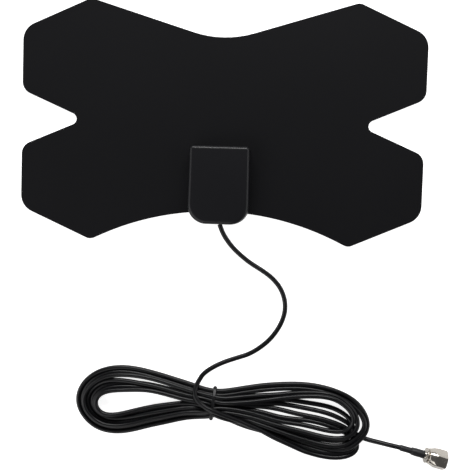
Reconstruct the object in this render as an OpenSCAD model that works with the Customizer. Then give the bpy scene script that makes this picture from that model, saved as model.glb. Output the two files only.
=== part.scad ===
// Flat indoor television antenna: a butterfly-shaped laminate panel, a small
// matching-transformer housing on its front, and a thin coaxial lead wound into
// a hank that ends in a screw-on coaxial connector.
// The panel lies on its back. The origin is on its back face, at its centre.
// +X is to the right and +Y is up, seen from the front, and +Z is out of the front.

/* [Panel] */
// Width of the panel over its four wings
panel_w = 254; // [240:1:270]
// Thickness of each of the two plastic films
film_t = 0.3; // [0.25:0.05:0.5]
// Thickness of the foil between the films
foil_t = 0.1; // [0.05:0.05:0.15]
// Half the distance between the upper wing tips
upper_tip_x = 84; // [80:0.5:88]
// Height of the upper wing tips above the panel's centre
upper_tip_y = 75.8; // [72:0.1:80]
// Half the distance between the lower wing tips
lower_tip_x = 82; // [80:0.5:86]
// Depth of the lower wing tips below the panel's centre
lower_tip_y = 76.2; // [74:0.1:80]
// Height of the outer end of each short side edge
side_outer_y = 56.3; // [52:0.1:60]
// Height of the inner end of each short side edge
side_inner_y = 17.5; // [14:0.5:22]
// Distance of each side notch's point from the centre line
notch_x = 86.4; // [80:0.2:92]
// Height of the upper edge on the centre line, before it is rounded
valley_y = 50; // [46:0.5:54]
// Radius of the upper edge on the centre line
valley_r = 65; // [40:1:80]
// Depth of the lower edge on the centre line
arch_y = 56; // [52:0.5:60]
// Radius of the arched lower edge
arch_r = 175; // [165:1:190]
// Radius of the wing tips
tip_r = 6; // [3:0.5:8]
// Radius of the side edges' outer ends
side_outer_r = 11.5; // [6:0.5:14]
// Radius of the side edges' inner ends
side_inner_r = 8; // [4:0.5:10]
// Radius of each notch's point
notch_r = 3.7; // [2:0.1:6]

/* [Housing] */
// Width of the housing at its upper end
housing_top_w = 37.8; // [36:0.2:40]
// Width of the housing at its lower end
housing_bottom_w = 39.2; // [37:0.2:42]
// Distance of the housing's upper end below the panel's centre
housing_top_y = 15; // [12:0.5:18]
// Distance of the housing's lower end below the panel's centre
housing_bottom_y = 64; // [62:0.5:68]
// Height of the housing above the panel
housing_h = 11; // [10:0.5:14]
// Radius of the upper corners
housing_top_r = 2; // [1:0.5:4]
// Radius of the lower corners
housing_bottom_r = 12; // [8:0.5:15]
// Radius of the rounded rim of the cover
rim_r = 2.3; // [1.5:0.1:3]
// Wall thickness of the cover
wall_t = 1.6; // [1.2:0.1:2]
// Thickness of the base plate
base_t = 1.5; // [1.2:0.1:2]
// Thickness of the adhesive tape under the base plate
tape_t = 0.25; // [0.1:0.05:0.4]

/* [Cord] */
// Diameter of the coaxial cord
cord_d = 3; // [2.5:0.1:3.2]
// Offset of the cord's exit from the centre line
exit_x = 1; // [-2:0.5:4]
// Height of the cord's exit above the table
exit_z = 4.5; // [4:0.1:5.5]
// Height of the hank
hank_h = 10; // [8:0.5:12]
// Width of the tie round the hank
tie_w = 1.6; // [1.2:0.1:2.4]
// Thickness of the tie round the hank
tie_t = 1.2; // [0.8:0.1:1.6]

/* [Connector] */
// Distance across the flats of the coupling nut
nut_af = 11; // [11:0.1:12]
// Distance from the connector's flange to the nut's front
nut_front = 12.7; // [12:0.1:14]
// Diameter of the thin flange behind the nut
flange_d = 9.5; // [9:0.1:10]
// Diameter of the neck that the nut turns on
neck_d = 7; // [6.6:0.1:7.2]
// Radial clearance between the neck and the nut
nut_clearance = 0.05; // [0.03:0.01:0.08]
// Bore of the nut, left plain for the thread
nut_bore_d = 8.9; // [8.8:0.1:9.1]
// Diameter of the centre pin
pin_d = 0.8; // [0.6:0.1:1]
// Diameter of the thick black sleeve behind the flange
outer_sleeve_d = 5; // [4.8:0.1:5.4]
// Diameter of the thin black sleeve behind the thick one
inner_sleeve_d = 3.8; // [3.6:0.1:4.2]

/* [Hidden] */

$fn = 48;
eps = 0.01;
corner_steps = 8;
arch_steps = 24;

film_color = "#1a1a1c";
housing_color = "#202022";
cord_color = "#141416";
nickel_color = "#c9c6c0";
brass_color = "#c8a24a";
foil_color = "#b9bcc0";

panel_t = 2 * film_t;

// Foil elements and the points where the housing's contacts meet them
element_gap = 8;
feed_x = 6;
feed_y = -30;
contact_r = 0.8;
contact_head_r = 1.6;
contact_head_h = 0.75;
contact_play = 0.1;

// Heights inside the housing
base_z = panel_t + tape_t;
floor_z = base_z + base_t;
board_t = 1;
board_z = exit_z - cord_d / 12 - board_t;
cover_top = panel_t + housing_h;
draft = 0.25;
cavity_top = cover_top - 1.8;
tape_edge = -54;

board_w = 22;
board_top_y = -21;
board_bottom_y = -44;
board_post_r = 1;
cover_post_x = 13.6;
cover_post_y = [-20.5, -48];
cover_post_r = 2;
cover_pin_r = 1;
cover_pin_z = 6.5;

core_outer_r = 4.5;
core_inner_r = 2;
core_h = 2.8;
core_y = -31;
core_z = board_z + board_t + 0.6;
wire_d = 0.4;
winding_turns = 9;

// Stripped end of the cord inside the housing
clamp_w = 9;
clamp_y = [-59, -54];
clamp_z = exit_z + 2.2;
jacket_y = -50;
shield_y = -47;
conductor_y = -40.5;
exit_play = 0.1;

// Route of the loose cord from the housing to the hank, and from the hank to the connector
lead_route = [[exit_x, -housing_bottom_y, exit_z], [3.5, -70, 3.8], [8, -76.5, 2.6],
  [13.5, -82, 1.8], [20.5, -87.5, 1.5], [28, -92, 1.5], [34.5, -96.5, 1.5],
  [40, -102.5, 1.5], [43, -109, 1.5], [44, -115.5, 1.5], [43, -122, 1.5],
  [40, -129, 1.5], [35, -136, 1.5], [29, -141.5, 1.5], [22, -146, 1.5],
  [14, -149, 1.6], [6, -152, 2], [-1, -155.5, 3], [-6.5, -159.5, 4.8],
  [-10, -164, 6.6], [-11.5, -169, 8]];
tail_route = [[95, -197.5, 2.5], [101, -198.4, 2.8], [107, -199.2, 3.7],
  [113, -200, 4.9], [119, -201, 5.5]];
cord_sides = 8;

// Outline of the hank: x, y and radius of each corner
hank_corners = [[0, -168, 30], [-62, -155, 30], [-90, -158, 20], [-90, -200, 20],
  [-60, -202, 30], [0, -189.5, 30], [80, -214, 10], [98, -208, 12], [101, -186, 20],
  [82, -164, 24], [50, -161.5, 30]];
hank_middle = [0, -178.8];
waist_w = 21.5;
tie_turn = -4;
tie_proud = 0.5;

// The connector lies along its own axis: zero is at the back of the flange
connector_at = [135, -205, nut_af / 2];
connector_turn = -14;
flange_t = 1;
collar_back = -0.8;
collar_r = 2.7;
nut_back = 1.5;
shoulder = 3;
post_flange = [3.05, 4.3];
post_flange_r = 4.2;
post_r = 1.15;
post_back = -6.5;
post_bore_r = 0.85;
bead_back = 1.4;
bead_r = 2.2;
sleeve_split = -9.3;
sleeve_back = -16.5;
ferrule_back = -7;
ferrule_r = 2.2;
crimp_r = 1.7;
cord_end = -7;
pin_front = 12.2;
pin_root_r = 0.24;
nut_tail_r = 4.8;
cone_start = 2.6;
cone_end = 7.4;
nut_corner_r = nut_af / sqrt(3);
nut_chamfer = 0.7;

function unit(v) = v / norm(v);

// Points of the round at corner b, between the corners before and after it
function corner_arc(a, b, c, r) =
  let (to_a = unit(a - b), to_c = unit(c - b), half = acos(to_a * to_c) / 2)
  let (centre = b + unit(to_a + to_c) * r / sin(half))
  let (first = b + to_a * r / tan(half) - centre, last = b + to_c * r / tan(half) - centre)
  let (start = atan2(first.y, first.x), turn = atan2(last.y, last.x) - start)
  let (sweep = turn > 180 ? turn - 360 : turn < -180 ? turn + 360 : turn)
  [for (i = [0:corner_steps]) let (t = start + sweep * i / corner_steps)
    centre + r * [cos(t), sin(t)]];

// Outline with a round at each corner that has a radius
function rounded(corners) = let (n = len(corners))
  [for (i = [0:n - 1])
    let (a = corners[(i + n - 1) % n], b = corners[i], c = corners[(i + 1) % n])
    each b.z > 0 ? corner_arc([a.x, a.y], [b.x, b.y], [c.x, c.y], b.z) : [[b.x, b.y]]];

function mirrored(corners) =
  [for (i = [len(corners) - 1:-1:0]) [-corners[i].x, corners[i].y, corners[i].z]];

// Right-hand wing corners, from the upper tip down to the lower tip
wing_corners = [[upper_tip_x, upper_tip_y, tip_r],
  [panel_w / 2, side_outer_y, side_outer_r],
  [panel_w / 2, side_inner_y, side_inner_r],
  [notch_x, 0, notch_r],
  [panel_w / 2, -side_inner_y, side_inner_r],
  [panel_w / 2, -side_outer_y, side_outer_r],
  [lower_tip_x, -lower_tip_y, tip_r]];

// The arched lower edge, from right to left, stopping short of the tips' rounds
arch_half = asin((lower_tip_x - 8) / arch_r);
arch_points = [for (i = [0:arch_steps]) let (t = arch_half * (1 - 2 * i / arch_steps))
  [arch_r * sin(t), -arch_y - arch_r * (1 - cos(t)), 0]];

panel_points = rounded(concat([[0, valley_y, valley_r]], wing_corners, arch_points,
  mirrored(wing_corners)));

// Outline of the housing, moved inwards by inset
function housing_points(inset) =
  let (top = housing_top_w / 2 - inset, bottom = housing_bottom_w / 2 - inset)
  let (upper = -housing_top_y - inset, lower = -housing_bottom_y + inset)
  let (top_r = max(housing_top_r - inset, 0.4), bottom_r = housing_bottom_r - inset)
  rounded([[-top, upper, top_r], [top, upper, top_r],
    [bottom, lower, bottom_r], [-bottom, lower, bottom_r]]);

// Outline of a foil element: narrow at its feed point, wide at the wing
element_corners = [[element_gap / 2, feed_y + 5, 1], [80, 65, 4], [118, 48, 4],
  [118, 22, 4], [76, 0, 4], [118, -22, 4], [118, -48, 4], [80, -65, 4],
  [element_gap / 2, feed_y - 5, 1]];

module panel_sheet(thickness) {
  linear_extrude(thickness) polygon(panel_points);
}

module element(thickness) {
  linear_extrude(thickness) polygon(rounded(element_corners));
}

module both_sides() {
  children();
  mirror([1, 0, 0]) children();
}

module back_film() {
  color(film_color) panel_sheet(film_t);
}

// The front film has a shallow pocket for each foil element, and a window for each contact
module front_film() {
  color(film_color) translate([0, 0, film_t]) difference() {
    panel_sheet(film_t);
    both_sides() {
      translate([0, 0, -eps]) element(foil_t + eps);
      translate([feed_x, feed_y, -eps]) cylinder(r = contact_r + contact_play, h = 1);
    }
  }
}

module right_element() {
  color(foil_color) translate([0, 0, film_t]) element(foil_t);
}

module left_element() {
  color(foil_color) mirror([1, 0, 0]) translate([0, 0, film_t]) element(foil_t);
}

module contact_holes(height) {
  both_sides() translate([feed_x, feed_y, -eps])
    cylinder(r = contact_r + contact_play, h = height + 2 * eps);
}

// Double-sided tape between the panel and the base plate
module base_tape() {
  tape_w = housing_top_w - 2 * wall_t - 2;
  tape_top = -housing_top_y - wall_t - 1;
  color("#8c8c88") translate([0, 0, panel_t]) difference() {
    translate([-tape_w / 2, tape_edge, 0]) cube([tape_w, tape_top - tape_edge, tape_t]);
    contact_holes(tape_t);
  }
}

module board_posts(r, z0, z1) {
  for (x = [-1, 1], y = [board_bottom_y + 2, board_top_y - 2])
    translate([x * (board_w / 2 - 2), y, z0]) cylinder(r = r, h = z1 - z0);
}

module cover_posts(r, z0, z1) {
  for (x = [-1, 1], y = cover_post_y)
    translate([x * cover_post_x, y, z0]) cylinder(r = r, h = z1 - z0);
}

// Base plate with posts for the circuit board and pins for the cover
module housing_base() {
  color(housing_color) difference() {
    union() {
      translate([0, 0, base_z]) linear_extrude(base_t)
        polygon(housing_points(wall_t + exit_play));
      board_posts(board_post_r, floor_z - eps, board_z);
      cover_posts(cover_pin_r, floor_z - eps, cover_pin_z);
    }
    translate([0, 0, base_z]) contact_holes(base_t);
  }
}

// A slice of the housing's outline at a height
module housing_slice(inset, z) {
  translate([0, 0, z]) linear_extrude(eps) polygon(housing_points(inset));
}

// Cover: a moulded shell with drafted walls, a rounded rim and four posts inside
module housing_cover() {
  color(housing_color) difference() {
    union() {
      difference() {
        hull() {
          housing_slice(0, panel_t);
          for (t = [0:15:90])
            housing_slice(draft + rim_r * (1 - cos(t)), cover_top - rim_r * (1 - sin(t)) - eps);
        }
        hull() {
          housing_slice(wall_t, panel_t - eps);
          housing_slice(wall_t + draft, cavity_top - 1);
          housing_slice(wall_t + draft + 1, cavity_top);
        }
      }
      cover_posts(cover_post_r, floor_z + 0.2, cavity_top + eps);
    }
    cover_posts(cover_pin_r, floor_z, cover_pin_z + 0.5);
    translate([exit_x, -housing_bottom_y - 1, exit_z]) rotate([-90, 0, 0])
      cylinder(d = cord_d + 2 * exit_play, h = wall_t + 3);
  }
}

// Contact rivet between a foil element and the circuit board
module contact(x) {
  stem_top = board_z - contact_head_h;
  color(brass_color) translate([x, feed_y, 0]) {
    translate([0, 0, film_t + foil_t]) cylinder(r = contact_r, h = stem_top - film_t - foil_t);
    translate([0, 0, stem_top - eps]) cylinder(r1 = contact_head_r - 0.3, r2 = contact_head_r,
      h = contact_head_h + eps);
  }
}

module left_contact() { contact(-feed_x); }
module right_contact() { contact(feed_x); }

module circuit_board() {
  color("#1d5a34") translate([-board_w / 2, board_bottom_y, board_z])
    cube([board_w, board_top_y - board_bottom_y, board_t]);
}

// Ferrite ring of the matching transformer
module balun_core() {
  color("#3a3a3c") translate([0, core_y, core_z]) rotate_extrude()
    translate([core_inner_r, 0]) square([core_outer_r - core_inner_r, core_h]);
}

// One turn of enamelled wire round the ferrite ring
module wire_turn() {
  inner = [core_outer_r - core_inner_r, core_h];
  rotate([90, 0, 0]) linear_extrude(wire_d, center = true) difference() {
    translate([core_inner_r - wire_d, -wire_d]) square(inner + 2 * wire_d * [1, 1]);
    translate([core_inner_r, 0]) square(inner);
  }
}

module balun_winding() {
  color("#a4562a") translate([0, core_y, core_z])
    for (i = [0:winding_turns - 1]) rotate([0, 0, 360 * i / winding_turns]) wire_turn();
}

// Saddle that holds the cord down on the base plate
module cord_clamp() {
  color(housing_color) difference() {
    translate([exit_x - clamp_w / 2, clamp_y[0], floor_z])
      cube([clamp_w, clamp_y[1] - clamp_y[0], clamp_z - floor_z]);
    translate([exit_x, clamp_y[0] - 1, exit_z]) rotate([-90, 0, 0])
      cylinder(d = cord_d, h = clamp_y[1] - clamp_y[0] + 2);
    translate([exit_x - cord_d / 2, clamp_y[0] - 1, floor_z - 1])
      cube([cord_d, clamp_y[1] - clamp_y[0] + 2, exit_z - floor_z + 1]);
  }
}

// A length of the cord's layers, straight along Y at the exit's height
module straight_core(d, from_y, to_y) {
  translate([exit_x, from_y, exit_z]) rotate([-90, 0, 0]) cylinder(d = d, h = to_y - from_y);
}

module cord_inner_end() { color(cord_color) straight_core(cord_d, -housing_bottom_y, jacket_y); }
module shield_end() { color("#9a8f84") straight_core(cord_d * 0.75, jacket_y, shield_y); }
module dielectric_end() { color("#e8e6df") straight_core(cord_d * 0.5, shield_y, board_bottom_y); }
module conductor_end() { color(brass_color) straight_core(cord_d / 6, board_bottom_y, conductor_y); }

// Tube along a route, square across its first and last directions
module tube(route, r, first, last) {
  n = len(route);
  aim = [for (i = [0:n - 1]) i == 0 ? first : i == n - 1 ? last
    : unit(route[i + 1] - route[i - 1])];
  points = [for (i = [0:n - 1]) let (side = unit(cross(aim[i], [0, 0, 1])))
    let (up = cross(side, aim[i])) for (k = [0:cord_sides - 1])
      let (t = (k + 0.5) * 360 / cord_sides) route[i] + r * (cos(t) * side + sin(t) * up)];
  walls = [for (i = [0:n - 2], k = [0:cord_sides - 1]) let (m = (k + 1) % cord_sides)
    let (a = i * cord_sides, b = (i + 1) * cord_sides)
      each [[a + k, a + m, b + m], [a + k, b + m, b + k]]];
  start_cap = [for (k = [cord_sides - 1:-1:0]) k];
  end_cap = [for (k = [0:cord_sides - 1]) (n - 1) * cord_sides + k];
  polyhedron(points, concat([start_cap], walls, [end_cap]));
}

connector_dir = [cos(connector_turn), sin(connector_turn), 0];

module cord_lead() {
  n = len(lead_route);
  color(cord_color)
    tube(lead_route, cord_d / 2, [0, -1, 0], unit(lead_route[n - 1] - lead_route[n - 2]));
}

module cord_tail() {
  color(cord_color) tube(concat(tail_route, [connector_at + cord_end * connector_dir]),
    cord_d / 2, unit(tail_route[1] - tail_route[0]), connector_dir);
}

// Frame of the tie, round the hank's waist
module tie_ring(grow, length) {
  outer = [waist_w + 2 * tie_proud, hank_h + tie_proud];
  translate([hank_middle.x, hank_middle.y, 0]) rotate([0, 0, tie_turn]) rotate([90, 0, 90])
    linear_extrude(length, center = true) difference() {
      translate([-outer.x / 2, -grow]) square([outer.x, outer.y + grow]);
      translate([-outer.x / 2 + tie_t, tie_t]) square([outer.x - 2 * tie_t, outer.y - 2 * tie_t]);
    }
}

// The hank's turns as one solid, with a groove where the tie pulls them in
module cord_hank() {
  color(cord_color) difference() {
    linear_extrude(hank_h) polygon(rounded(hank_corners));
    tie_ring(1, tie_w);
  }
}

module hank_tie() {
  color("#101012") tie_ring(0, tie_w);
}

// Places a shape turned about Z on the connector's axis
module on_connector() {
  translate(connector_at) rotate([0, 0, connector_turn]) rotate([0, 90, 0]) children();
}

// A ring on the connector's axis, from one distance to another
module axis_ring(from, to, outer_r, inner_r) {
  on_connector() translate([0, 0, from]) difference() {
    cylinder(r = outer_r, h = to - from);
    translate([0, 0, -1]) cylinder(r = inner_r, h = to - from + 2);
  }
}

module inner_sleeve() {
  color("#1c1c1e") axis_ring(sleeve_back, sleeve_split, inner_sleeve_d / 2, cord_d / 2);
}

// The thick sleeve is shrunk over the ferrule and the end of the cord
module outer_sleeve() {
  color("#1c1c1e") on_connector() rotate_extrude() polygon([
    [cord_d / 2, sleeve_split], [outer_sleeve_d / 2 - 0.4, sleeve_split],
    [outer_sleeve_d / 2, sleeve_split + 0.6], [outer_sleeve_d / 2, collar_back],
    [ferrule_r, collar_back], [ferrule_r, ferrule_back], [cord_d / 2, ferrule_back]]);
}

module crimp_ferrule() { color(nickel_color) axis_ring(ferrule_back, collar_back, ferrule_r, crimp_r); }
module shield_crimp() { color("#9a8f84") axis_ring(post_back, collar_back, crimp_r, post_r); }

// Turned body: rear post, collar, thin flange, neck for the nut and the flange inside it
module connector_body() {
  color(nickel_color) on_connector() rotate_extrude() polygon([
    [post_bore_r, post_back], [post_r, post_back], [post_r, collar_back],
    [collar_r, collar_back], [collar_r, 0], [flange_d / 2 - 0.2, 0],
    [flange_d / 2, 0.2], [flange_d / 2, flange_t - 0.2], [flange_d / 2 - 0.2, flange_t],
    [neck_d / 2, flange_t], [neck_d / 2, post_flange[0]],
    [post_flange_r, post_flange[0]], [post_flange_r, post_flange[1] - 0.2],
    [post_flange_r - 0.2, post_flange[1]], [bead_r, post_flange[1]],
    [bead_r, bead_back], [post_bore_r, bead_back]]);
}

// Insulating bead round the pin, with a tail that fills the post
module insulator() {
  color("#e9e7e0") on_connector() rotate_extrude() polygon([
    [pin_root_r, post_back], [post_bore_r, post_back], [post_bore_r, bead_back],
    [bead_r, bead_back], [bead_r, post_flange[1]], [pin_root_r, post_flange[1]]]);
}

// Pin with a thinner root in the bead, and a chamfered free end
module centre_pin() {
  color(brass_color) on_connector() rotate_extrude() polygon([
    [0, post_back], [pin_root_r, post_back], [pin_root_r, post_flange[1]],
    [pin_d / 2, post_flange[1]], [pin_d / 2, pin_front - 0.3],
    [pin_d / 2 - 0.2, pin_front], [0, pin_front]]);
}

// Nut: a hexagon cut by a turned profile, with a plain bore and a shoulder behind it
module coupling_nut() {
  bore = nut_bore_d / 2;
  color(nickel_color) on_connector() difference() {
    intersection() {
      rotate([0, 0, 30]) cylinder(r = nut_corner_r, h = nut_front, $fn = 6);
      rotate_extrude() polygon([
        [0, nut_back], [nut_tail_r - 0.3, nut_back], [nut_tail_r, nut_back + 0.3],
        [nut_tail_r, cone_start], [nut_corner_r + 0.2, cone_end],
        [nut_corner_r + 0.2, nut_front - nut_chamfer],
        [nut_corner_r - 0.5, nut_front], [0, nut_front]]);
    }
    cylinder(d = neck_d + 2 * nut_clearance, h = nut_front);
    translate([0, 0, shoulder]) cylinder(r = bore, h = nut_front);
    translate([0, 0, nut_front - 0.5]) cylinder(r1 = bore, r2 = bore + 0.5, h = 0.5 + eps);
  }
}

back_film();
front_film();
left_element();
right_element();
base_tape();
housing_base();
housing_cover();
left_contact();
right_contact();
circuit_board();
balun_core();
balun_winding();
cord_clamp();
cord_inner_end();
shield_end();
dielectric_end();
conductor_end();
cord_lead();
cord_hank();
cord_tail();
hank_tie();
inner_sleeve();
outer_sleeve();
crimp_ferrule();
shield_crimp();
connector_body();
insulator();
centre_pin();
coupling_nut();
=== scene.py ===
"""Looks of a flat indoor television antenna, laid on its back on a pale table.

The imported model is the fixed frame. The cord with its hank, the tie, the housing's cover and the
turned parts of the connector are modelled here in finer form, and every part gets its finish.
"""

import math

import bmesh
import bpy
import numpy as np
from bpy.props import FloatProperty, FloatVectorProperty, IntProperty, PointerProperty
from mathutils import Euler, Matrix, Vector


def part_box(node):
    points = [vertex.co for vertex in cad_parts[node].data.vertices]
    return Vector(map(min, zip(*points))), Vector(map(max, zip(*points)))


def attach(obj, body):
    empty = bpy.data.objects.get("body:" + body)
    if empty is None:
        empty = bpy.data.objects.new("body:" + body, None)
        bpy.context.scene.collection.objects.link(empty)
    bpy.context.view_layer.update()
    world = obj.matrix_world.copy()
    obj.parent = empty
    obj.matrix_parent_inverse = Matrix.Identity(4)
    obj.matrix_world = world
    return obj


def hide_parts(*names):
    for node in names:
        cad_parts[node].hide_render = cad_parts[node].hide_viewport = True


bl_info = {
    "name": "Indoor television antenna",
    "version": (1, 0, 0),
    "blender": (4, 5, 0),
    "location": "3D View > Sidebar > Antenna",
    "description": "Models and finishes a flat indoor antenna, its coaxial cord and its connector",
    "category": "Object",
}

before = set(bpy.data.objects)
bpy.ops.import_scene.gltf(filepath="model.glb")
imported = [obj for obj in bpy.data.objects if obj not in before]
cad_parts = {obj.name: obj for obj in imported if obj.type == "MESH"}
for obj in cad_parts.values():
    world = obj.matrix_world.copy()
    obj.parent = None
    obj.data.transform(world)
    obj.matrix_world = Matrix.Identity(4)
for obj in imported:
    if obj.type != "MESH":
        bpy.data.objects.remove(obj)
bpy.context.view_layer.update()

MM = 0.001

# Route of the cord from the housing to the hank, then over the hank's waist
LEAD_ROUTE = [
    (0.001, -0.064, 0.0045), (0.0035, -0.070, 0.0038), (0.008, -0.0765, 0.0026),
    (0.0135, -0.082, 0.0018), (0.0205, -0.0875, 0.0015), (0.028, -0.092, 0.0015),
    (0.0345, -0.0965, 0.0015), (0.040, -0.1025, 0.0015), (0.043, -0.109, 0.0015),
    (0.044, -0.1155, 0.0015), (0.043, -0.122, 0.0015), (0.040, -0.129, 0.0015),
    (0.035, -0.136, 0.0015), (0.029, -0.1415, 0.0015), (0.022, -0.146, 0.0015),
    (0.014, -0.149, 0.0016), (0.006, -0.152, 0.002), (-0.001, -0.1555, 0.003),
    (-0.0065, -0.1595, 0.0048), (-0.010, -0.164, 0.0066), (-0.0115, -0.169, 0.008),
]
CROSSING = [
    (-0.0118, -0.1728), (-0.0104, -0.1762), (-0.0066, -0.179), (-0.0012, -0.181),
    (0.0044, -0.1833), (0.0104, -0.186), (0.0173, -0.1888), (0.0241, -0.1914), (0.032, -0.1942),
]
# Route from the hank to the back of the connector
TAIL_ROUTE = [
    (0.095, -0.1975, 0.0025), (0.101, -0.1984, 0.0028), (0.107, -0.1992, 0.0037),
    (0.113, -0.200, 0.0049), (0.119, -0.201, 0.0055), (0.1282, -0.2033, 0.0055),
]

# Tracks of the hank's two lobes in millimetres, from the waist outwards, on a half-millimetre
# grid. Each set runs from its outermost track to its innermost, and a turn of the cord follows
# a blend of two neighbours.
RIGHT_TOP = [
    [(0, -172.5), (13.5, -169.5), (31, -166), (40.5, -165), (49, -164.5), (58, -164.5),
     (67.5, -166), (76.5, -168), (84.5, -171), (91.5, -175), (96, -180.5), (99, -187),
     (99, -191.5)],
    [(0, -174.5), (13.5, -172.5), (31, -169), (48.5, -167), (58, -167), (66.5, -167.5),
     (75.5, -169.5), (83.5, -172.5), (90.5, -177), (95, -182), (98, -187.5), (97, -192)],
    [(0, -176), (17, -173.5), (36, -172), (43.5, -171), (55, -169), (68.5, -168.5),
     (75.5, -169.5), (81.5, -172), (86, -175.5), (90, -180), (92.5, -185.5), (92.5, -190)],
    [(0, -178.5), (17.5, -177), (31, -175), (42.5, -173), (57.5, -170.5), (65.5, -170),
     (71.5, -170), (78, -171.5), (83.5, -175), (87.5, -178.5), (90, -183), (89.5, -188)],
]
RIGHT_FAN = [
    [(0, -179), (17.5, -177), (31, -175), (46, -174.5), (55.5, -175.5), (65, -176.5),
     (74.5, -178), (81.5, -180.5), (86.5, -184), (90, -187.5)],
    [(0, -180.5), (17.5, -178), (31.5, -176.5), (42.5, -177), (55.5, -179), (65, -180.5),
     (74.5, -182.5), (84, -186.5), (91, -191.5)],
    [(0, -181.5), (17.5, -179.5), (31.5, -179.5), (43, -181), (53.5, -183.5), (65, -185.5),
     (74.5, -187.5), (84, -190.5), (91.5, -193.5)],
    [(0.5, -183), (17.5, -182), (30, -183), (43, -186.5), (54, -187), (65, -187.5),
     (74.5, -190), (83, -193), (88.5, -195), (92, -198)],
]
RIGHT_BOTTOM = [
    [(0.5, -186), (7, -186.5), (14, -189.5), (22.5, -192.5), (32, -195.5), (42, -199.5),
     (50.5, -203), (60, -207), (70, -210), (79, -211), (86, -210), (92, -207),
     (93.5, -202.5)],
    [(0, -181), (17.5, -182.5), (31.5, -185.5), (43, -188), (56, -189.5), (65.5, -191.5),
     (74, -193), (80.5, -193.5), (86, -192)],
]
LEFT_TOP = [
    [(0, -172.5), (-12.5, -169), (-29, -164.5), (-43, -161), (-52.5, -159), (-61, -158.5),
     (-70, -160), (-76.5, -162.5), (-81.5, -166.5), (-85, -171), (-87, -177), (-86.5, -182.5),
     (-84.5, -187)],
    [(0, -174.5), (-15, -170.5), (-34, -165), (-43, -163), (-52.5, -162), (-61, -162),
     (-69, -163.5), (-74.5, -166.5), (-79, -170), (-82, -174), (-84, -178.5), (-83.5, -183),
     (-82, -186)],
    [(0, -176), (-14.5, -174.5), (-34, -169.5), (-42.5, -168), (-52.5, -166.5), (-61, -166),
     (-69.5, -167), (-74.5, -169), (-78, -173), (-80.5, -177), (-81.5, -182), (-80.5, -186)],
    [(0, -178), (-17, -175.5), (-29, -173), (-34, -172), (-42.5, -170.5), (-52.5, -171),
     (-61, -171.5), (-69.5, -172.5), (-73, -174), (-75.5, -177.5), (-76, -181.5)],
]
LEFT_BOTTOM = [
    [(0.5, -186), (-11.5, -186.5), (-22.5, -189), (-32, -192), (-42, -194.5), (-49, -197),
     (-57, -199), (-64, -199.5), (-69.5, -198.5), (-74.5, -197), (-79.5, -193)],
    [(0, -179), (-17, -178.5), (-28.5, -180.5), (-35.5, -181.5), (-42, -183), (-50.5, -185),
     (-59, -187.5), (-66, -188.5), (-71, -188), (-74, -185.5)],
]
# Each turn: right bottom track, right return set and track, left top track, left bottom track,
# and its place in the pile on the right and on the left
TURNS = [
    (0.0, RIGHT_FAN, 3.0, 3.0, 1.0, 1, 6),
    (0.3, RIGHT_TOP, 0.0, 0.0, 0.0, 4, 0),
    (0.45, RIGHT_TOP, 1.0, 0.5, 0.16, 5, 1),
    (0.74, RIGHT_TOP, 2.0, 1.0, 0.33, 6, 2),
    (1.0, RIGHT_TOP, 3.0, 2.0, 0.5, 7, 3),
    (0.6, RIGHT_FAN, 0.0, 2.33, 0.66, 3, 4),
    (0.15, RIGHT_FAN, 1.0, 2.67, 0.83, 2, 5),
]
# Height of one place in the pile before it settles, and of the crossing stretch above it
PILE_RISE = 1.9 * MM
TOP_OF_PILE = 19 * MM
# Where the crossing stretch goes under the other strands
DIVES_AT = 58 * MM
# Distance between the points of the line that settles
PLAN_STEP = 2.5 * MM
# Points over which the loose cord rises from the table to the pile
RISE_POINTS = 22
# Points over which a held end of the line goes over into the free stretch
END_POINTS = 13

# The waist, where the tie goes round: its middle, half its width, its height at the lower edge,
# how far it reaches to each side, and how fast it widens there, for each metre squared
WAIST_Y = -0.179
WAIST_HALF = 7.6 * MM
WAIST_ROOF = 4.8 * MM
WAIST_REACH = 16 * MM
WAIST_FLARE = 22
# Share by which the tie presses the pile down
WAIST_PRESS = 0.1
TIE_TURN = math.radians(-6)

# Shares of one settling step: how far strands sink, straighten, part and come back to their plan.
# TOUCH is the distance at which strands part, as a share of the diameter.
SINK = 0.02
STRAIGHTEN = ((1, 0.3), (2, 0.2), (4, 0.1))
PART = 1.5
TOUCH = 0.95
COME_BACK = 0.12
COME_BACK_MORE_IN_LOBES = 0.2
HOLD_IN_TIE = 0.3

# The connector lies along its own axis: distances start at the back of its flange
CONNECTOR_AT = Vector((0.135, -0.205, 0.0055))
CONNECTOR_TURN = math.radians(-14)
CONNECTOR_PLACE = Matrix.Translation(CONNECTOR_AT) @ Euler(
    (0, math.pi / 2, CONNECTOR_TURN)
).to_matrix().to_4x4()

JACKET_EXIT = Vector(LEAD_ROUTE[0])


def linear(hex_colour):
    """An sRGB hex colour as linear red, green, blue and full alpha."""
    channels = [int(hex_colour[i:i + 2], 16) / 255 for i in (0, 2, 4)]
    curve = [c / 12.92 if c <= 0.04045 else ((c + 0.055) / 1.055) ** 2.4 for c in channels]
    return (*curve, 1.0)


class PanelSettings(bpy.types.PropertyGroup):
    """Finish of the laminated panel."""

    colour: FloatVectorProperty(
        name="Film colour", description="Colour of the black polyester film",
        default=linear("0f0f11"), size=4, subtype="COLOR", min=0, max=1)
    grain: FloatProperty(
        name="Film grain", description="Size of the film's matt grain",
        default=0.6 * MM, unit="LENGTH", min=0.1 * MM, max=2 * MM)


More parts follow.
